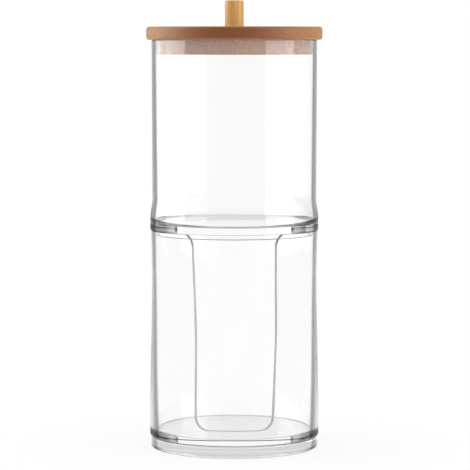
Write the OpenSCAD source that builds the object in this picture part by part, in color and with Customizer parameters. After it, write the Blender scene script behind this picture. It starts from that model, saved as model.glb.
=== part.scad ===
// A clear dispenser jar in two storeys: a cup with a bamboo lid stands on a jar with a tall
// front slot, and the jar stands on a shallow base. The front is towards -Y.

/* [Body] */
// Outer diameter of the jar at its rim, which the cup, the base and the lid follow
body_d = 74.9; // [70:0.1:90]

/* [Lid] */
// How far the lid board stands out past the rim of the cup
lid_overhang = 2.4; // [1:0.1:6]
// Thickness of the lid board
lid_t = 5.8; // [4:0.1:10]
// Radius on both rims of the lid board
lid_edge_r = 1.2; // [0.4:0.1:1.8]
// Depth of the plug below the lid board
plug_h = 6.5; // [4:0.1:12]
// Gap all round between the plug and the mouth of the cup
plug_gap = 0.3; // [0.2:0.05:0.6]
// Radius on the lower rim of the plug
plug_edge_r = 0.8; // [0.3:0.1:1.5]

/* [Knob] */
// Diameter of the knob
knob_d = 8.4; // [7:0.1:14]
// Height of the knob above the lid
knob_h = 11.8; // [10:0.1:25]
// Radius on the top rim of the knob
knob_edge_r = 0.7; // [0.3:0.1:1.5]
// Radius of the sweep at the foot of the knob
knob_foot_r = 0.6; // [0.3:0.1:1.2]

/* [Screw] */
// Diameter of the screw shank
screw_d = 3; // [2.5:0.1:4]
// Length of the screw inside the knob
screw_grip = 8; // [5:0.5:9]
// Diameter of the screw head
screw_head_d = 6; // [5:0.1:7]
// Height of the screw head
screw_head_h = 1.8; // [1.4:0.1:2.2]
// Clearance all round the shank in the lid board and the plug
screw_gap = 0.2; // [0.1:0.05:0.5]
// Clearance all round the shank in the knob
screw_fit = 0.05; // [0.02:0.01:0.1]
// Width of each arm of the cross recess in the head
cross_w = 0.9; // [0.6:0.1:1.2]
// Depth of the cross recess
cross_depth = 1; // [0.6:0.1:1.2]

/* [Cup] */
// Height of the cup from the top of the jar to its own rim
cup_h = 85.1; // [60:0.1:120]
// How far the rim of the cup stands in from the rim of the jar
cup_inset = 0.35; // [0:0.05:1]
// How far the wall above the flared foot stands in from the rim of the cup
cup_waist_in = 0.25; // [0:0.05:0.8]
// How far the foot of the cup stands out from its rim
cup_foot_out = 0.75; // [0.2:0.05:1.5]
// Height of the straight part of the foot
cup_foot_h = 5; // [4.6:0.1:12]
// Height over which the foot blends into the wall
cup_flare_h = 9; // [5:0.1:20]
// Thickness of the wall at the rim
cup_wall = 1.6; // [1.2:0.1:2]
// Thickness of the wall where it meets the floor fillet, inside the foot
cup_foot_wall = 1.8; // [1.6:0.1:3.2]
// Thickness of the floor
cup_floor_t = 3; // [2:0.1:4]
// Radius of the fillet between the floor and the wall
cup_fillet_r = 2.4; // [1:0.1:3]

/* [Jar] */
// Height of the jar from the top of the base to its own rim
jar_h = 93; // [70:0.1:140]
// How far the wall above the flared foot stands in from the rim of the jar
jar_waist_in = 0.3; // [0:0.05:0.8]
// How far the foot of the jar stands out from its rim
jar_foot_out = 0.7; // [0.2:0.05:1.5]
// Height of the straight part of the foot
jar_foot_h = 8.5; // [5:0.1:12]
// Height over which the foot tapers into the wall
jar_flare_h = 64; // [10:0.5:75]
// Thickness of the wall at the rim
jar_wall = 1.8; // [1.4:0.1:2.2]
// Thickness of the wall where it meets the floor fillet, inside the foot
jar_foot_wall = 3.2; // [2.2:0.1:3.8]
// Thickness of the floor
jar_floor_t = 2.8; // [2:0.1:4]
// Radius of the fillet between the floor and the wall
jar_fillet_r = 0.8; // [0.5:0.1:4]

/* [Slot] */
// Width of the slot below its flared mouth
slot_top_w = 36.8; // [30:0.2:42]
// Width of the slot above its lower corners
slot_bottom_w = 33.6; // [28:0.2:42]
// Height of the lower edge of the slot above the floor of the jar
slot_rise = 4; // [3:0.1:12]
// Radius of the flared corners at the mouth of the slot
slot_mouth_r = 5.5; // [3:0.1:8]
// Radius of the lower corners of the slot
slot_corner_r = 6; // [3:0.1:10]

/* [Spigot] */
// Depth of the spigot ring below the floor of the cup
cup_spigot_h = 2.25; // [1.5:0.05:4]
// Depth of the spigot ring below the floor of the jar
jar_spigot_h = 1; // [0.8:0.1:3]
// Thickness of the spigot ring
spigot_wall = 1.6; // [1.2:0.1:2.4]
// Gap all round between the spigot of the cup and the mouth of the jar
spigot_gap = 0.3; // [0.2:0.05:0.6]
// Bevel on the lower outer rim of the spigot ring
spigot_bevel = 0.4; // [0.2:0.1:0.8]
// Radius on the outer rim of the face that seats round the spigot
seat_edge_r = 0.15; // [0.1:0.05:0.5]

/* [Base] */
// How far the base stands in from the foot of the jar
base_inset = 0.5; // [0:0.05:1]
// Height of the base
base_h = 5.3; // [4.6:0.1:9]
// Radius on the lower rim of the base
base_edge_r = 0.5; // [0.4:0.1:1.6]
// Width of the foot rim that the base stands on
base_rim_w = 3; // [2.6:0.1:8]
// Height of the base floor above the table
base_rise = 1; // [0.4:0.1:1.4]
// How far the side of the recess under the base leans out
base_lean = 0.3; // [0:0.05:0.8]
// Glue gap round the spigot of the jar in the base
glue_gap = 0.1; // [0.05:0.05:0.3]

/* [Hidden] */
// Radius on the outer edges of the mouldings that is not set elsewhere
edge_r = 0.5;
// How far a cut runs past the face that it opens
overrun = 1;
// Sides of the round forms
round_fn = 180;
// Steps in a quarter of a rounded corner, and in a blended flare
arc_steps = 8;
flare_steps = 16;

bamboo = "#C99A68";
bamboo_dark = "#B98555";
clear_plastic = [0.86, 0.92, 0.95, 0.35];
steel = "#B9BCC0";

// Levels above the table
jar_z = base_h;
cup_z = jar_z + jar_h;
lid_z = cup_z + cup_h;
knob_z = lid_z + lid_t;
plug_z = lid_z - plug_h;

// Outer radii of the mouldings and the lid
jar_rim_r = body_d / 2;
jar_waist_r = jar_rim_r - jar_waist_in;
jar_foot_r = jar_rim_r + jar_foot_out;
cup_rim_r = jar_rim_r - cup_inset;
cup_waist_r = cup_rim_r - cup_waist_in;
cup_foot_r = cup_rim_r + cup_foot_out;
base_r = jar_foot_r - base_inset;
lid_r = cup_rim_r + lid_overhang;

// The mouths, and what seats in them
cup_mouth_r = cup_rim_r - cup_wall;
jar_mouth_r = jar_rim_r - jar_wall;
plug_r = cup_mouth_r - plug_gap;
spigot_r = jar_mouth_r - spigot_gap;
socket_r = spigot_r + glue_gap;
socket_depth = jar_spigot_h + glue_gap;

// The screw hangs from the roof of its pocket in the plug
pocket_depth = screw_head_h + edge_r;
pocket_r = screw_head_d / 2 + edge_r;
screw_seat_z = plug_z + pocket_depth;
screw_tip_z = knob_z + screw_grip;

// Points of an arc round c, from angle a to angle b
function arc(c, r, a, b) =
    [for (i = [0 : arc_steps]) let (t = a + (b - a) * i / arc_steps) c + r * [cos(t), sin(t)]];

// A smooth step from 0 to 1
function ease(t) = t * t * (3 - 2 * t);

// Points of a flare from radius r0 at height z0 to radius r1 at height z1
function flare(r0, z0, r1, z1) =
    [for (i = [0 : flare_steps]) let (t = i / flare_steps)
        [r0 + (r1 - r0) * ease(t), z0 + (z1 - z0) * t]];

// Outline of a moulded vessel to the right of its axis. Height 0 is the face that rests on
// the piece below, and the spigot ring hangs under it.
function vessel_outline(h, rim_r, waist_r, foot_r, foot_h, flare_h, wall, foot_wall, floor_t,
                        fillet_r, spigot_h) =
    let (mouth_r = rim_r - wall, inner_r = foot_r - foot_wall,
         fillet_z = floor_t + fillet_r)
    concat(
        [[0, 0], [spigot_r - spigot_wall, 0], [spigot_r - spigot_wall, -spigot_h],
         [spigot_r - spigot_bevel, -spigot_h], [spigot_r, spigot_bevel - spigot_h],
         [spigot_r, 0]],
        arc([foot_r - seat_edge_r, seat_edge_r], seat_edge_r, -90, 0),
        flare(foot_r, foot_h, waist_r, foot_h + flare_h),
        arc([rim_r - edge_r, h - edge_r], edge_r, 0, 90),
        [[mouth_r, h]],
        flare(waist_r - wall, foot_h + flare_h, inner_r, max(foot_h, fillet_z)),
        arc([inner_r - fillet_r, fillet_z], fillet_r, 0, -90),
        [[0, floor_t]]);

module vessel(outline) {
    rotate_extrude($fn = round_fn) polygon(outline);
}

// Outline of the front slot: tapered sides, round lower corners and a flared mouth
function slot_outline() =
    let (low = jar_floor_t + slot_rise, top_x = slot_top_w / 2, low_x = slot_bottom_w / 2,
         corner = slot_corner_r, mouth = slot_mouth_r)
    concat(
        arc([low_x - corner, low + corner], corner, -90, 0),
        arc([top_x + mouth, jar_h - mouth], mouth, 180, 90),
        [[top_x + mouth, jar_h + overrun], [-top_x - mouth, jar_h + overrun]],
        arc([-top_x - mouth, jar_h - mouth], mouth, 90, 0),
        arc([corner - low_x, low + corner], corner, 180, 270));

module front_slot() {
    rotate([90, 0, 0])
        linear_extrude(height = jar_foot_r + overrun) polygon(slot_outline());
}

module base_ring() {
    floor_z = base_h - socket_depth;
    color(clear_plastic)
        rotate_extrude($fn = round_fn)
            polygon(concat(
                [[0, base_rise], [base_r - base_rim_w, base_rise],
                 [base_r - base_rim_w + base_lean, 0]],
                arc([base_r - base_edge_r, base_edge_r], base_edge_r, -90, 0),
                arc([base_r - edge_r, base_h - edge_r], edge_r, 0, 90),
                [[socket_r, base_h], [socket_r, floor_z], [0, floor_z]]));
}

module dispenser_body() {
    color(clear_plastic)
        translate([0, 0, jar_z])
            difference() {
                vessel(vessel_outline(jar_h, jar_rim_r, jar_waist_r, jar_foot_r, jar_foot_h,
                                      jar_flare_h, jar_wall, jar_foot_wall, jar_floor_t,
                                      jar_fillet_r, jar_spigot_h));
                front_slot();
            }
}

module swab_cup() {
    color(clear_plastic)
        translate([0, 0, cup_z])
            vessel(vessel_outline(cup_h, cup_rim_r, cup_waist_r, cup_foot_r, cup_foot_h,
                                  cup_flare_h, cup_wall, cup_foot_wall, cup_floor_t,
                                  cup_fillet_r, cup_spigot_h));
}

module screw_hole(z, h, gap) {
    translate([0, 0, z])
        cylinder(r = screw_d / 2 + gap, h = h, $fn = round_fn);
}

module lid_plug() {
    color(bamboo_dark)
        difference() {
            translate([0, 0, plug_z])
                rotate_extrude($fn = round_fn)
                    polygon(concat(
                        [[0, 0]],
                        arc([plug_r - plug_edge_r, plug_edge_r], plug_edge_r, -90, 0),
                        [[plug_r, plug_h], [0, plug_h]]));
            screw_hole(plug_z, plug_h + overrun, screw_gap);
            translate([0, 0, plug_z - overrun])
                cylinder(r = pocket_r, h = pocket_depth + overrun, $fn = round_fn);
        }
}

module lid_disc() {
    color(bamboo)
        difference() {
            translate([0, 0, lid_z])
                rotate_extrude($fn = round_fn)
                    polygon(concat(
                        [[0, 0]],
                        arc([lid_r - lid_edge_r, lid_edge_r], lid_edge_r, -90, 0),
                        arc([lid_r - lid_edge_r, lid_t - lid_edge_r], lid_edge_r, 0, 90),
                        [[0, lid_t]]));
            screw_hole(lid_z - overrun, lid_t + 2 * overrun, screw_gap);
        }
}

module lid_knob() {
    knob_r = knob_d / 2;
    color(bamboo)
        difference() {
            translate([0, 0, knob_z])
                rotate_extrude($fn = round_fn)
                    polygon(concat(
                        [[0, 0]],
                        arc([knob_r + knob_foot_r, knob_foot_r], knob_foot_r, 270, 180),
                        arc([knob_r - knob_edge_r, knob_h - knob_edge_r], knob_edge_r, 0, 90),
                        [[0, knob_h]]));
            screw_hole(knob_z - overrun, overrun + screw_grip + edge_r, screw_fit);
        }
}

module knob_screw() {
    head_z = screw_seat_z - screw_head_h;
    arm = screw_head_d / 2;
    color(steel)
        difference() {
            union() {
                translate([0, 0, head_z])
                    cylinder(d = screw_head_d, h = screw_head_h, $fn = round_fn);
                translate([0, 0, screw_seat_z])
                    cylinder(d = screw_d, h = screw_tip_z - screw_seat_z, $fn = round_fn);
            }
            for (turn = [0, 90])
                rotate([0, 0, turn])
                    translate([-arm / 2, -cross_w / 2, head_z - overrun])
                        cube([arm, cross_w, overrun + cross_depth]);
        }
}

base_ring();
dispenser_body();
swab_cup();
lid_plug();
lid_disc();
lid_knob();
knob_screw();
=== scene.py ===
"""A clear dispenser jar in two storeys with a bamboo lid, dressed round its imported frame."""
import math

import bmesh
import bpy
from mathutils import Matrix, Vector


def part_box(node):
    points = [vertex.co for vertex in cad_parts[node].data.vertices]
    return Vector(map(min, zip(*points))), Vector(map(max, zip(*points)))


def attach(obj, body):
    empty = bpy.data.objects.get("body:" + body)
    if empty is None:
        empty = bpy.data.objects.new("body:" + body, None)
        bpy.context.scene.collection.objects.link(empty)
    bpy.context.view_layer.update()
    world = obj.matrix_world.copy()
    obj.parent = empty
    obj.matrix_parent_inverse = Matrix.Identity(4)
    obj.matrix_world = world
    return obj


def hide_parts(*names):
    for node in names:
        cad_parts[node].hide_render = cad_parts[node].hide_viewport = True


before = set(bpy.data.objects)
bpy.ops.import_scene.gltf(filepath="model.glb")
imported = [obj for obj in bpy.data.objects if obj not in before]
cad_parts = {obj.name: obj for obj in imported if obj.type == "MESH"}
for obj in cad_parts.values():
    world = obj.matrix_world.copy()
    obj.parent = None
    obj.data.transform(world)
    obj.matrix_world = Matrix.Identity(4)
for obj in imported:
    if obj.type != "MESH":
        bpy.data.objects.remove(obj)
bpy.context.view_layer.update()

MM = 0.001
FULL_TURN = math.tau

# The camera, found from the photograph
PHOTO_PX = 470
FOCAL_PX = 2367
AXIS_COLUMN_PX = 234.3
HORIZON_ROW_PX = 41.6
CAMERA_DISTANCE = 1065 * MM
CAMERA_HEIGHT = 182.6 * MM
SENSOR_MM = 36

# Levels and outer radii of the pieces, taken from the frame
base_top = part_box("base_ring")[1].z
jar_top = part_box("dispenser_body")[1].z
cup_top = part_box("swab_cup")[1].z
plug_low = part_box("lid_plug")[0].z
lid_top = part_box("lid_disc")[1].z
knob_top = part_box("lid_knob")[1].z
screw_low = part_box("knob_screw")[0].z
base_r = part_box("base_ring")[1].x
jar_foot_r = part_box("dispenser_body")[1].x
cup_foot_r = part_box("swab_cup")[1].x
plug_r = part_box("lid_plug")[1].x
lid_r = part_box("lid_disc")[1].x
knob_foot_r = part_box("lid_knob")[1].x
screw_head_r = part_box("knob_screw")[1].x

# The mouldings
JAR_FOOT_OUT = 0.7 * MM
JAR_WAIST_IN = 0.3 * MM
JAR_FOOT_H = 8.5 * MM
JAR_FLARE_H = 64 * MM
JAR_WALL = 1.8 * MM
JAR_FOOT_WALL = 3.2 * MM
JAR_FLOOR_T = 2.8 * MM
JAR_FILLET_R = 0.5 * MM
CUP_FOOT_OUT = 0.75 * MM
CUP_WAIST_IN = 0.25 * MM
CUP_FOOT_H = 5 * MM
CUP_FLARE_H = 9 * MM
CUP_WALL = 1.6 * MM
CUP_FOOT_WALL = 1.8 * MM
CUP_FLOOR_T = 3.0 * MM
CUP_FILLET_R = 2.4 * MM
CUP_SPIGOT_H = jar_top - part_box("swab_cup")[0].z
JAR_SPIGOT_H = base_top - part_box("dispenser_body")[0].z
SPIGOT_WALL = 1.6 * MM
SPIGOT_GAP = 0.3 * MM
GLUE_GAP = 0.1 * MM
MOULD_EDGE_R = 0.5 * MM
SEAT_EDGE_R = 0.15 * MM
BASE_EDGE_R = 0.5 * MM
BASE_RIM_W = 3 * MM
BASE_RISE = 1 * MM
BASE_LEAN = 0.3 * MM
FLARE_STEPS = 16
jar_rim_r = jar_foot_r - JAR_FOOT_OUT
cup_rim_r = cup_foot_r - CUP_FOOT_OUT
spigot_r = jar_rim_r - JAR_WALL - SPIGOT_GAP

# The slot, whose sides run towards the axis of the jar
SLOT_TOP_X = 18.8 * MM
SLOT_LOW_X = 16.9 * MM
SLOT_LOW_Z = base_top + 6.8 * MM
SLOT_MOUTH_R = 5.5 * MM
SLOT_CORNER_R = 6 * MM
SLOT_EDGE_R = 0.25 * MM
SLOT_OUTER_SHARE = 1.25
SLOT_INNER_SHARE = 0.7
SLOT_LOW_TURN = 0.6

# The screw through the lid
SCREW_R = 1.5 * MM
SCREW_GAP = 0.2 * MM
SCREW_FIT = 0.05 * MM
SCREW_HEAD_H = 1.8 * MM
SCREW_GRIP = 8 * MM
POCKET_MARGIN = 0.5 * MM
STRIP_W = 11 * MM

# Painted shade: the dark arcs at the edge of a thick floor, painted in as a near-black share where the
# real edge bends the light so far that it turns dark: (millimetres above the seat, share of the light
# left), for the inner end of an arc, its two middle parts and its outer end. The blends say at which
# turns of the wall from the eye each part takes over
PAINTED_ARC_BLENDS = [(0.266, 0.268), (0.29, 0.305), (0.34, 0.43), (0.43, 0.57)]
BAND_H = 6 * MM
OUTSIDE_R = 36.2 * MM
CUP_PAINTED_ARCS = [
    [(0.8, 0.5), (1.6, 0.15), (2.5, 0.08), (3.5, 0.8), (4, 1)],
    [(0.3, 0.45), (1.4, 0.6), (2.6, 0.35), (3.7, 1)],
    [(0.2, 0.2), (1.3, 0.4), (2.4, 0.1), (3.4, 0.7), (4.6, 1)],
    [(0.3, 0.3), (1.4, 0.25), (2.3, 0.1), (3.3, 0.9), (4.2, 1), (5.1, 0.7), (5.9, 1)],
]
JAR_PAINTED_ARCS = [
    [(0.2, 1), (0.8, 0.35), (2.8, 0.35), (3.6, 1)],
    [(0.2, 1), (0.7, 0.45), (1.8, 0.7), (2.9, 0.6), (3.8, 1)],
    [(0.3, 1), (0.8, 0.15), (2.5, 0.35), (3.4, 0.6), (4.4, 1)],
    [(0.4, 1), (1.2, 0.15), (3, 0.3), (4.3, 1)],
]

SMOOTH_ANGLE = math.radians(35)
OVERRUN = 2 * MM
WELD = 0.001 * MM


def colour(hex_code):
    """Linear RGBA of an sRGB hex code."""
    parts = [int(hex_code[i:i + 2], 16) / 255 for i in (1, 3, 5)]
    linear = [c / 12.92 if c <= 0.04045 else ((c + 0.055) / 1.055) ** 2.4 for c in parts]
    return (*linear, 1.0)


def add(tree, kind, inputs=None, stops=None, **settings):
    """Adds a node. Each input takes a value or another node's output, and stops fill a colour ramp."""
    node = tree.nodes.new(kind)
    for name, value in settings.items():
        setattr(node, name, value)
    for socket, value in (inputs or {}).items():
        if isinstance(value, bpy.types.NodeSocket):
            tree.links.new(value, node.inputs[socket])
        else:
            node.inputs[socket].default_value = value
    if stops:
        elements = node.color_ramp.elements
        while len(elements) < len(stops):
            elements.new(0.5)
        for element, (place, shade) in zip(elements, stops):
            element.position = place
            element.color = shade
    return node


def new_material(name):
    material = bpy.data.materials.new(name)
    material.use_nodes = True
    material.node_tree.nodes.clear()
    return material, material.node_tree


def finish_material(tree, shader):
    add(tree, "ShaderNodeOutputMaterial", {"Surface": shader.outputs[0]})


def wire(outline, segments):
    """A bmesh wire through (radius or x, height, corner radius) points in the XZ plane, corners rounded."""
    bm = bmesh.new()
    verts = [bm.verts.new((x, 0, z)) for x, z, _ in outline]
    for a, b in zip(verts, verts[1:]):
        bm.edges.new((a, b))
    for vert, (_, _, corner) in zip(verts, outline):
        if corner:
            bmesh.ops.bevel(bm, geom=[vert], offset=corner, offset_type="OFFSET", segments=segments,
                            profile=0.5, affect="VERTICES", material=-1)
    return bm


def new_piece(name, bm, *materials):
    """An object at the origin from a bmesh, smooth but for its sharp edges."""
    mesh = bpy.data.meshes.new(name)
    bm.to_mesh(mesh)
    bm.free()
    mesh.shade_smooth()
    mesh.set_sharp_from_angle(angle=SMOOTH_ANGLE)
    for material in materials:
        mesh.materials.append(material)
    piece = bpy.data.objects.new(name, mesh)
    bpy.context.scene.collection.objects.link(piece)
    return piece


def turned(outline, steps, segments=8):
    """A closed bmesh turned round the Z axis from an outline that starts and ends on the axis."""
    bm = wire(outline, segments)
    bmesh.ops.spin(bm, geom=bm.verts[:] + bm.edges[:], cent=(0, 0, 0), axis=(0, 0, 1),
                   angle=FULL_TURN, steps=steps, use_merge=True)
    bmesh.ops.remove_doubles(bm, verts=bm.verts, dist=WELD)
    bmesh.ops.recalc_face_normals(bm, faces=bm.faces)
    return bm


def weigh_normals(piece):
    """Lets the long faces keep their own normals, so that a wall bends light evenly up to its rims."""
    modifier = piece.modifiers.new("weighted_normals", "WEIGHTED_NORMAL")
    modifier.keep_sharp = True


def dress(piece, body, node):
    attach(piece, body)
    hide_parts(node)


def flare(low_r, low_z, high_r, high_z):
    """Points of a smooth step from one radius to another."""
    steps = [i / FLARE_STEPS for i in range(FLARE_STEPS + 1)]
    return [(low_r + (high_r - low_r) * t * t * (3 - 2 * t), low_z + (high_z - low_z) * t, 0)
            for t in steps]


def vessel_outline(seat, top, foot_r, foot_h, flare_h, waist_r, rim_r, wall, foot_wall, floor_t,
                   fillet_r, spigot_h):
    """Half section of a moulded vessel that stands on height seat, with its spigot ring below."""
    return [
        (0, seat, 0),
        (spigot_r - SPIGOT_WALL, seat, 0.3 * MM),
        (spigot_r - SPIGOT_WALL, seat - spigot_h, 0.2 * MM),
        (spigot_r, seat - spigot_h, 0.4 * MM),
        (spigot_r, seat, 0.2 * MM),
        (foot_r, seat, SEAT_EDGE_R),
        *flare(foot_r, seat + foot_h, waist_r, seat + foot_h + flare_h),
        (rim_r, top, MOULD_EDGE_R),
        (rim_r - wall, top, 0.3 * MM),
        *flare(waist_r - wall, seat + foot_h + flare_h, foot_r - foot_wall,
               seat + max(foot_h, floor_t + fillet_r)),
        (foot_r - foot_wall, seat + floor_t, fillet_r),
        (0, seat + floor_t, 0),
    ]


def make_base(material):
    floor_z = base_top - JAR_SPIGOT_H - GLUE_GAP
    outline = [
        (0, BASE_RISE, 0),
        (base_r - BASE_RIM_W, BASE_RISE, 0.2 * MM),
        (base_r - BASE_RIM_W + BASE_LEAN, 0, 0.2 * MM),
        (base_r, 0, BASE_EDGE_R),
        (base_r, base_top, MOULD_EDGE_R),
        (spigot_r + GLUE_GAP, base_top, 0.2 * MM),
        (spigot_r + GLUE_GAP, floor_z, 0.2 * MM),
        (0, floor_z, 0),
    ]
    piece = new_piece("clear_base", turned(outline, 256), material)
    weigh_normals(piece)
    dress(piece, "dispenser", "base_ring")


def slot_cutter():
    """A block with the outline of the front slot, reaching from inside the jar past its front."""
    mouth_z = jar_top + 0.02 * MM
    side_x = SLOT_TOP_X + SLOT_MOUTH_R + OVERRUN
    half = [(side_x, mouth_z, 0), (SLOT_TOP_X, mouth_z, SLOT_MOUTH_R),
            (SLOT_LOW_X, SLOT_LOW_Z, SLOT_CORNER_R)]
    outline = ([(side_x, mouth_z + OVERRUN, 0)] + half
               + [(-x, z, corner) for x, z, corner in reversed(half)]
               + [(-side_x, mouth_z + OVERRUN, 0)])
    bm = wire(outline, 12)
    bmesh.ops.contextual_create(bm, geom=bm.edges[:])
    grown = bmesh.ops.extrude_face_region(bm, geom=bm.faces[:])
    inner = {item for item in grown["geom"] if isinstance(item, bmesh.types.BMVert)}
    surface_y = math.sqrt(jar_rim_r ** 2 - SLOT_TOP_X ** 2)
    for vert in bm.verts:
        share = SLOT_INNER_SHARE if vert in inner else SLOT_OUTER_SHARE
        up = min(1, (vert.co.z - SLOT_LOW_Z) / (jar_top - SLOT_LOW_Z))
        vert.co.x *= 1 + (share - 1) * (SLOT_LOW_TURN + (1 - SLOT_LOW_TURN) * up)
        vert.co.y = -surface_y * share
    bmesh.ops.recalc_face_normals(bm, faces=bm.faces)
    for face in bm.faces:
        face.material_index = 1
    return bm


def round_slot_edges(bm):
    """Rounds the two rims that the slot leaves on the outside and the inside of the wall."""
    reach = SLOT_TOP_X + SLOT_MOUTH_R + OVERRUN
    rims = []
    for edge in bm.edges:
        middle = (edge.verts[0].co + edge.verts[1].co) / 2
        near_slot = (abs(middle.x) < reach and middle.y < -jar_foot_r * 0.5
                     and middle.z > SLOT_LOW_Z - MM)
        if near_slot and edge.is_manifold and edge.calc_face_angle() > SMOOTH_ANGLE:
            rims.append(edge)
    rounded = bmesh.ops.bevel(bm, geom=rims, offset=SLOT_EDGE_R, offset_type="OFFSET", segments=3,
                              profile=0.5, affect="EDGES", clamp_overlap=True, material=-1)
    for face in rounded["faces"]:
        face.material_index = 1


def make_jar(material, edge_material):
    outline = vessel_outline(base_top, jar_top, jar_foot_r, JAR_FOOT_H, JAR_FLARE_H,
                             jar_rim_r - JAR_WAIST_IN, jar_rim_r, JAR_WALL, JAR_FOOT_WALL,
                             JAR_FLOOR_T, JAR_FILLET_R, JAR_SPIGOT_H)
    piece = new_piece("slotted_jar", turned(outline, 320), material, edge_material)
    cutter = new_piece("slot_cutter", slot_cutter(), material, edge_material)
    cut = piece.modifiers.new("slot", "BOOLEAN")
    cut.operation = "DIFFERENCE"
    cut.solver = "EXACT"
    cut.object = cutter
    bpy.context.view_layer.update()
    cut_mesh = bpy.data.meshes.new_from_object(piece.evaluated_get(bpy.context.evaluated_depsgraph_get()))
    piece.modifiers.clear()
    bm = bmesh.new()
    bm.from_mesh(cut_mesh)
    bmesh.ops.remove_doubles(bm, verts=bm.verts, dist=0.02 * MM)
    round_slot_edges(bm)
    bmesh.ops.recalc_face_normals(bm, faces=bm.faces)
    bm.to_mesh(piece.data)
    bm.free()
    piece.data.shade_smooth()
    piece.data.set_sharp_from_angle(angle=SMOOTH_ANGLE)
    bpy.data.objects.remove(cutter)
    weigh_normals(piece)
    dress(piece, "dispenser", "dispenser_body")


def make_cup(material, edge_material):
    outline = vessel_outline(jar_top, cup_top, cup_foot_r, CUP_FOOT_H, CUP_FLARE_H,
                             cup_rim_r - CUP_WAIST_IN, cup_rim_r, CUP_WALL, CUP_FOOT_WALL,
                             CUP_FLOOR_T, CUP_FILLET_R, CUP_SPIGOT_H)
    bm = turned(outline, 320)
    # The spigot's lower rim takes the second material, the ring painted dark grey
    for face in bm.faces:
        if face.calc_center_median().z < jar_top - CUP_SPIGOT_H + MOULD_EDGE_R:
            face.material_index = 1
    piece = new_piece("clear_cup", bm, material, edge_material)
    weigh_normals(piece)
    dress(piece, "cup", "swab_cup")


def make_lid(board_material, plug_material, knob_material):
    pocket_r = screw_head_r + POCKET_MARGIN
    seat_z = screw_low + SCREW_HEAD_H
    bore_r = SCREW_R + SCREW_GAP
    board = turned_ring([
        (bore_r, cup_top, 0.15 * MM),
        (lid_r, cup_top, 1.2 * MM),
        (lid_r, lid_top, 1.2 * MM),
        (bore_r, lid_top, 0.15 * MM),
    ])
    piece = new_piece("bamboo_board", board, board_material)
    weigh_normals(piece)
    dress(piece, "lid", "lid_disc")
    plug = turned_ring([
        (bore_r, seat_z, 0.1 * MM),
        (pocket_r, seat_z, 0.1 * MM),
        (pocket_r, plug_low, 0.2 * MM),
        (plug_r, plug_low, 0.8 * MM),
        (plug_r, cup_top, 0.2 * MM),
        (bore_r, cup_top, 0.1 * MM),
    ])
    piece = new_piece("bamboo_plug", plug, plug_material)
    weigh_normals(piece)
    dress(piece, "lid", "lid_plug")
    knob_r = knob_foot_r - 0.6 * MM
    hole_r = SCREW_R + SCREW_FIT
    hole_top = lid_top + SCREW_GRIP + MOULD_EDGE_R
    knob = turned([
        (0, hole_top, 0),
        (hole_r, hole_top, 0.1 * MM),
        (hole_r, lid_top, 0.1 * MM),
        (knob_foot_r, lid_top, 0.05 * MM),
        (knob_r, lid_top + 0.6 * MM, 0.4 * MM),
        (knob_r, knob_top, 0.7 * MM),
        (0, knob_top, 0),
    ], 96)
    piece = new_piece("bamboo_peg", knob, knob_material)
    weigh_normals(piece)
    dress(piece, "lid", "lid_knob")


def turned_ring(outline):
    """A closed bmesh turned from a closed outline that stays clear of the axis."""
    bm = wire(outline + outline[:1], 6)
    bmesh.ops.remove_doubles(bm, verts=bm.verts, dist=WELD)
    bmesh.ops.spin(bm, geom=bm.verts[:] + bm.edges[:], cent=(0, 0, 0), axis=(0, 0, 1),
                   angle=FULL_TURN, steps=256, use_merge=True)
    bmesh.ops.remove_doubles(bm, verts=bm.verts, dist=WELD)
    bmesh.ops.recalc_face_normals(bm, faces=bm.faces)
    return bm


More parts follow.
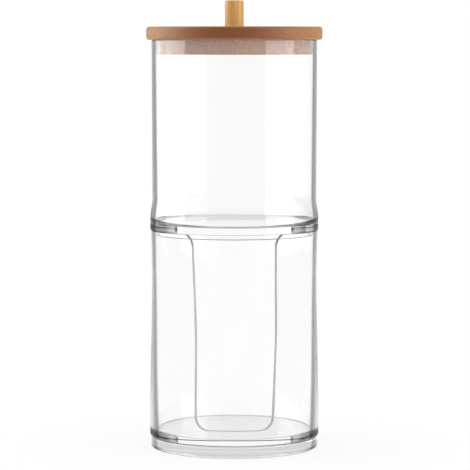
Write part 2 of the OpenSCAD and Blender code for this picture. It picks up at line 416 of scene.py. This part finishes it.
def clear_acrylic(name, body_and_painted_band_stops, painted_wall_shade_hex, wall_share, thicker, seat, arcs=None):
    """Moulded clear acrylic, colourless, with painted shade on its outside: grey is painted into the colour
    towards the edges of the wall, where light runs along inside it, and a near-black share is painted in
    at the edge of a thick floor, to the left and right of the middle, where that edge bends the light so
    far that it turns dark."""
    material, tree = new_material(name)
    facing = add(tree, "ShaderNodeLayerWeight", {"Blend": 0.5}).outputs["Facing"]
    place = add(tree, "ShaderNodeTexCoord").outputs["Object"]
    axis_place = add(tree, "ShaderNodeVectorMath", {0: place, 1: (1, 1, 0)}, operation="MULTIPLY")
    radius = add(tree, "ShaderNodeVectorMath", {0: axis_place.outputs[0]}, operation="LENGTH")
    outside = add(tree, "ShaderNodeMath", {0: radius.outputs["Value"], 1: OUTSIDE_R},
                  operation="GREATER_THAN")
    inner_edge = 1 - math.sqrt(1 - wall_share ** 2)
    clear = colour(body_and_painted_band_stops[-1][1])
    height = add(tree, "ShaderNodeSeparateXYZ", {0: place}).outputs["Z"]
    # Near the seat the painted wall shade reaches further in, by thicker, fading out towards the top of the
    # flare
    widening = add(tree, "ShaderNodeMapRange", {
        "Value": height, "From Min": seat, "From Max": seat + JAR_FOOT_H + JAR_FLARE_H,
        "To Min": thicker, "To Max": 0.0})
    wall_place = add(tree, "ShaderNodeMath", {0: facing, 1: widening.outputs[0]}, operation="ADD")
    # Painted shade: grey painted into the colour as the wall turns from the eye, from its inner edge out to
    # the silhouette, standing in for the shade where light runs along inside the wall
    wall = add(tree, "ShaderNodeValToRGB", {"Fac": wall_place.outputs[0]}, stops=[
        (inner_edge - 0.05, (1, 1, 1, 1)),
        (inner_edge + 0.01, colour(painted_wall_shade_hex)),
        (inner_edge + 0.08, colour(painted_wall_shade_hex)),
        (0.93, colour("#C9CBD0")),
    ])
    level = add(tree, "ShaderNodeMapRange", {"Value": height, "From Min": seat,
                                             "From Max": seat + BAND_H})
    # Body colour by height above the seat; on the base it also holds a painted grey band
    body = add(tree, "ShaderNodeValToRGB", {"Fac": level.outputs[0]}, stops=[
        (h * MM / BAND_H, colour(body_hex)) for h, body_hex in body_and_painted_band_stops])
    body_with_painted_wall_shade = add(tree, "ShaderNodeVectorMath", {0: body.outputs["Color"], 1: wall.outputs["Color"]},
                 operation="MULTIPLY")
    # The painted wall shade goes on the outside surface only
    tint = add(tree, "ShaderNodeMix", {0: outside.outputs[0], 6: clear, 7: body_with_painted_wall_shade.outputs[0]},
               data_type="RGBA")
    surface = add(tree, "ShaderNodeBsdfPrincipled", {
        "Base Color": tint.outputs[2], "Transmission Weight": 1.0, "IOR": 1.49, "Roughness": 0.01})
    # Painted shade: the dark arcs, a near-black share painted in by height and by how far the wall turns
    # from the eye, on the outside only
    if arcs:
        painted_arc_light = (1, 1, 1, 1)
        for (begin, end), band in zip(PAINTED_ARC_BLENDS, arcs):
            left = add(tree, "ShaderNodeValToRGB", {"Fac": level.outputs[0]}, stops=[
                (h * MM / BAND_H, (share, share, share, 1)) for h, share in band])
            blend = add(tree, "ShaderNodeMapRange", {"Value": facing, "From Min": begin,
                                                     "From Max": end})
            painted_arc_light = add(tree, "ShaderNodeMix", {0: blend.outputs[0], 6: painted_arc_light,
                                                     7: left.outputs["Color"]},
                             data_type="RGBA").outputs[2]
        share = add(tree, "ShaderNodeMix", {0: outside.outputs[0], 6: (1, 1, 1, 1), 7: painted_arc_light},
                    data_type="RGBA")
        # The near-black that is painted into the arcs
        dark = add(tree, "ShaderNodeBsdfDiffuse", {"Color": colour("#08090B")})
        surface = add(tree, "ShaderNodeMixShader", {0: share.outputs[2], 1: dark.outputs[0],
                                                    2: surface.outputs[0]})
    finish_material(tree, surface)
    return material


def cut_edge(name, low_hex, high_hex):
    """The milled sides of the slot and the ring under the cup: the same acrylic, left satin by the
    tool, so it scatters light. Their grey colour is painted shade, standing in for the grey and dark
    lines they show where the walls look clear."""
    material, tree = new_material(name)
    place = add(tree, "ShaderNodeTexCoord").outputs["Object"]
    ripple = add(tree, "ShaderNodeTexNoise", {"Vector": place, "Scale": 1 / (4 * MM), "Detail": 2.0})
    tint = add(tree, "ShaderNodeValToRGB", {"Fac": ripple.outputs["Fac"]}, stops=[
        (0.3, colour(low_hex)), (0.7, colour(high_hex))])
    plastic = add(tree, "ShaderNodeBsdfPrincipled", {
        "Base Color": tint.outputs["Color"], "Transmission Weight": 0.35, "IOR": 1.49,
        "Roughness": 0.35})
    finish_material(tree, plastic)
    return material


def bamboo(name, side_hex, end_hex, fibre_axis):
    """Laminated bamboo, sanded and oiled: long fibres along the strips, and darker cut ends with the
    dots of the fibre bundles."""
    material, tree = new_material(name)
    coordinates = add(tree, "ShaderNodeTexCoord")
    place = coordinates.outputs["Object"]

    def stretched(along, across):
        return tuple(1 / (along * MM) if i == fibre_axis else 1 / (across * MM) for i in range(3))

    fibre_place = add(tree, "ShaderNodeMapping", {"Vector": place, "Scale": stretched(40, 0.8)})
    fibres = add(tree, "ShaderNodeTexNoise", {
        "Vector": fibre_place.outputs[0], "Scale": 1.0, "Detail": 4.0, "Roughness": 0.55})
    bundle_place = add(tree, "ShaderNodeMapping", {"Vector": place, "Scale": stretched(12, 0.6)})
    bundles = add(tree, "ShaderNodeTexVoronoi", {
        "Vector": bundle_place.outputs[0], "Scale": 1.0, "Randomness": 1.0}, feature="F1")
    across = add(tree, "ShaderNodeSeparateXYZ", {0: place}).outputs["X"]
    strip_count = add(tree, "ShaderNodeMath", {0: across, 1: STRIP_W}, operation="DIVIDE")
    strip = add(tree, "ShaderNodeMath", {0: strip_count.outputs[0]}, operation="FLOOR")
    strip_tone = add(tree, "ShaderNodeTexWhiteNoise", {"W": strip.outputs[0]}, noise_dimensions="1D")
    to_joint = add(tree, "ShaderNodeMath", {0: strip_count.outputs[0], 1: 1.0}, operation="PINGPONG")
    facing = add(tree, "ShaderNodeSeparateXYZ", {0: coordinates.outputs["Normal"]})
    end_share = facing.outputs["XYZ"[fibre_axis]]
    end_square = add(tree, "ShaderNodeMath", {0: end_share, 1: end_share}, operation="MULTIPLY")
    grain = add(tree, "ShaderNodeMix", {0: end_square.outputs[0], 6: colour(side_hex),
                                        7: colour(end_hex)}, data_type="RGBA")
    streak = add(tree, "ShaderNodeMapRange", {"Value": fibres.outputs["Fac"], "From Min": 0.3,
                                              "From Max": 0.7, "To Min": 0.8, "To Max": 1.16})
    dot = add(tree, "ShaderNodeMapRange", {"Value": bundles.outputs["Distance"], "From Min": 0.1,
                                           "From Max": 0.5, "To Min": 0.74, "To Max": 1.06})
    tone = add(tree, "ShaderNodeMapRange", {"Value": strip_tone.outputs["Value"], "To Min": 0.95,
                                            "To Max": 1.05})
    joint = add(tree, "ShaderNodeMapRange", {"Value": to_joint.outputs[0], "From Min": 0.0,
                                             "From Max": 0.03, "To Min": 0.92, "To Max": 1.0})
    marks = streak.outputs[0]
    for mark in (dot, tone, joint):
        marks = add(tree, "ShaderNodeMath", {0: marks, 1: mark.outputs[0]},
                    operation="MULTIPLY").outputs[0]
    shade = add(tree, "ShaderNodeVectorMath", {0: grain.outputs[2], "Scale": marks},
                operation="SCALE")
    rough = add(tree, "ShaderNodeMapRange", {"Value": fibres.outputs["Fac"], "To Min": 0.38,
                                             "To Max": 0.52})
    bump = add(tree, "ShaderNodeBump", {"Height": bundles.outputs["Distance"], "Strength": 0.2,
                                        "Distance": 0.04 * MM})
    wood = add(tree, "ShaderNodeBsdfPrincipled", {
        "Base Color": shade.outputs[0], "Roughness": rough.outputs[0], "IOR": 1.5,
        "Normal": bump.outputs[0]})
    finish_material(tree, wood)
    return material


def zinc_plate(name):
    """Zinc plated steel: bright grey with a faint satin."""
    material, tree = new_material(name)
    place = add(tree, "ShaderNodeTexCoord").outputs["Object"]
    cloud = add(tree, "ShaderNodeTexNoise", {"Vector": place, "Scale": 1 / (0.8 * MM), "Detail": 3.0})
    rough = add(tree, "ShaderNodeMapRange", {"Value": cloud.outputs["Fac"], "To Min": 0.25,
                                             "To Max": 0.4})
    steel = add(tree, "ShaderNodeBsdfPrincipled", {
        "Base Color": colour("#C9CBD0"), "Metallic": 1.0, "Roughness": rough.outputs[0]})
    finish_material(tree, steel)
    return material


def make_camera():
    data = bpy.data.cameras.new("camera")
    data.sensor_width = SENSOR_MM
    data.lens = SENSOR_MM * FOCAL_PX / PHOTO_PX
    camera = bpy.data.objects.new("camera", data)
    bpy.context.scene.collection.objects.link(camera)
    tilt = math.atan((PHOTO_PX / 2 - HORIZON_ROW_PX) / FOCAL_PX)
    aside = (PHOTO_PX / 2 - AXIS_COLUMN_PX) * CAMERA_DISTANCE / FOCAL_PX
    camera.location = (aside, -CAMERA_DISTANCE, CAMERA_HEIGHT)
    camera.rotation_euler = (math.pi / 2 - tilt, 0, 0)
    bpy.context.scene.camera = camera


def softbox(name, bearing, distance, height, width, tall, radiance):
    """A soft lamp beside the jar. The bearing is in degrees from the front, positive to the right."""
    data = bpy.data.lights.new(name, "AREA")
    data.shape = "RECTANGLE"
    data.size = width
    data.size_y = tall
    data.energy = radiance * math.pi * width * tall
    lamp = bpy.data.objects.new(name, data)
    bpy.context.scene.collection.objects.link(lamp)
    angle = math.radians(bearing)
    lamp.location = (distance * math.sin(angle), -distance * math.cos(angle), height)
    aim = Vector((0, 0, 0.12)) - lamp.location
    lamp.rotation_euler = aim.to_track_quat("-Z", "Y").to_euler()


def make_world():
    """White to the camera and through clear plastic, greyer in reflections, dimmer on matt surfaces."""
    world = bpy.data.worlds.new("studio")
    bpy.context.scene.world = world
    world.use_nodes = True
    tree = world.node_tree
    tree.nodes.clear()
    rays = add(tree, "ShaderNodeLightPath")
    direction = add(tree, "ShaderNodeTexCoord").outputs["Generated"]
    up = add(tree, "ShaderNodeSeparateXYZ", {0: direction}).outputs["Z"]
    through = add(tree, "ShaderNodeValToRGB", {"Fac": up}, stops=[
        (0.2, (1, 1, 1, 1)), (0.6, (0.95, 0.95, 0.95, 1))])
    mirrored = add(tree, "ShaderNodeValToRGB", {"Fac": up}, stops=[
        (0.2, (0.45, 0.45, 0.45, 1)), (0.6, (0.4, 0.4, 0.4, 1))])
    level = (0.5, 0.5, 0.5, 1)
    for ray, seen in (("Is Glossy Ray", mirrored.outputs["Color"]),
                      ("Is Transmission Ray", through.outputs["Color"]),
                      ("Is Camera Ray", (1, 1, 1, 1))):
        level = add(tree, "ShaderNodeMix", {0: rays.outputs[ray], 6: level, 7: seen},
                    data_type="RGBA").outputs[2]
    background = add(tree, "ShaderNodeBackground", {"Color": level, "Strength": 1.0})
    add(tree, "ShaderNodeOutputWorld", {"Surface": background.outputs[0]})


def make_floor():
    """A white table that keeps a soft shadow near the jar and fades into the backdrop."""
    material, tree = new_material("white_table")
    place = add(tree, "ShaderNodeTexCoord").outputs["Object"]
    distance = add(tree, "ShaderNodeVectorMath", {0: place}, operation="LENGTH").outputs["Value"]
    glow_share = add(tree, "ShaderNodeMapRange", {
        "Value": distance, "From Min": 0.045, "From Max": 0.11, "To Min": 0.9, "To Max": 1.0})
    lit_share = add(tree, "ShaderNodeMapRange", {
        "Value": distance, "From Min": base_r - MM, "From Max": base_r + MM, "To Min": 0.8,
        "To Max": 1.0})
    rays = add(tree, "ShaderNodeLightPath")
    seen = add(tree, "ShaderNodeMath", {0: 1.0, 1: rays.outputs["Is Diffuse Ray"]},
               operation="SUBTRACT")
    under = add(tree, "ShaderNodeMath", {0: glow_share.outputs[0], 1: lit_share.outputs[0]},
                operation="MULTIPLY")
    share = add(tree, "ShaderNodeMath", {0: under.outputs[0], 1: seen.outputs[0]},
                operation="MULTIPLY")
    matt = add(tree, "ShaderNodeBsdfDiffuse", {"Color": colour("#F6F6F6")})
    not_through = add(tree, "ShaderNodeMath", {0: 1.0, 1: rays.outputs["Is Transmission Ray"]},
                      operation="SUBTRACT")
    mirrored = add(tree, "ShaderNodeMath", {0: not_through.outputs[0],
                                            1: rays.outputs["Is Glossy Ray"]}, operation="MULTIPLY")
    far_grey = add(tree, "ShaderNodeMapRange", {
        "Value": distance, "From Min": 0.4, "From Max": 1.6, "To Min": 1.0, "To Max": 0.45})
    glow_colour = add(tree, "ShaderNodeMix", {0: mirrored.outputs[0], 6: (1, 1, 1, 1),
                                              7: far_grey.outputs[0]}, data_type="RGBA")
    glow = add(tree, "ShaderNodeEmission", {"Color": glow_colour.outputs[2], "Strength": 1.0})
    mix = add(tree, "ShaderNodeMixShader", {0: share.outputs[0], 1: matt.outputs[0],
                                            2: glow.outputs[0]})
    finish_material(tree, mix)
    bm = bmesh.new()
    bmesh.ops.create_circle(bm, cap_ends=True, segments=96, radius=4.0)
    floor = new_piece("table", bm, material)


bpy.context.scene.view_settings.view_transform = "Standard"
make_camera()
make_world()
make_floor()
softbox("left_near_softbox", -90, 1.0, 0.45, 0.7, 1.2, 2.4)
softbox("left_far_softbox", -121, 1.0, 0.45, 0.58, 1.2, 1.3)
softbox("right_softbox", 67, 1.0, 0.45, 0.95, 1.2, 2.0)

body_clear = [(0, "#FDFDFD"), (BAND_H / MM, "#FDFDFD")]
# Painted shade on the base: grey at the wall edges, and its outside painted grey from 1.1 to 4.1 mm up,
# standing in for the shade seen through its solid floor
base_body_with_painted_band = [(0, "#F4F4F5"), (0.9, "#F4F4F5"), (1.1, "#D9DADB"), (4.1, "#D9DADB"), (4.4, "#FAFAFA")]
make_base(clear_acrylic("clear_base_acrylic", base_body_with_painted_band, "#70727A", 0.94, 0, 0))
# The cut faces of the slot: their satin is the milled finish, their light grey is painted shade along the
# cut
edge = cut_edge("satin_cut_acrylic_painted_shade", "#D6D6D7", "#E4E4E5")
# Painted shade: the ring under the cup is painted dark grey, standing in for the dark line where the cup
# sits in the jar; its satin is its finish
ring = cut_edge("satin_ring_acrylic_painted_shade", "#88888A", "#949496")
# Painted shade on the jar and the cup: grey at the wall edges, and dark arcs at the edges of their floors
make_jar(clear_acrylic("clear_jar_acrylic", body_clear, "#484A50", 0.955, 0.128, base_top,
                       JAR_PAINTED_ARCS), edge)
make_cup(clear_acrylic("clear_cup_acrylic", body_clear, "#5C5E66", 0.955, 0.03, jar_top,
                       CUP_PAINTED_ARCS), ring)
# Painted light: the plug's colours are paler and greyer than the board's, standing in for the haze of light
# over it inside the cup
make_lid(bamboo("board_bamboo", "#B78552", "#85491F", 1),
         bamboo("plug_bamboo", "#D5AE97", "#D2A893", 1),
         bamboo("peg_bamboo", "#E4B068", "#CC9657", 2))
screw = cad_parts["knob_screw"]
screw.data.materials.clear()
screw.data.materials.append(zinc_plate("zinc_plated_steel"))
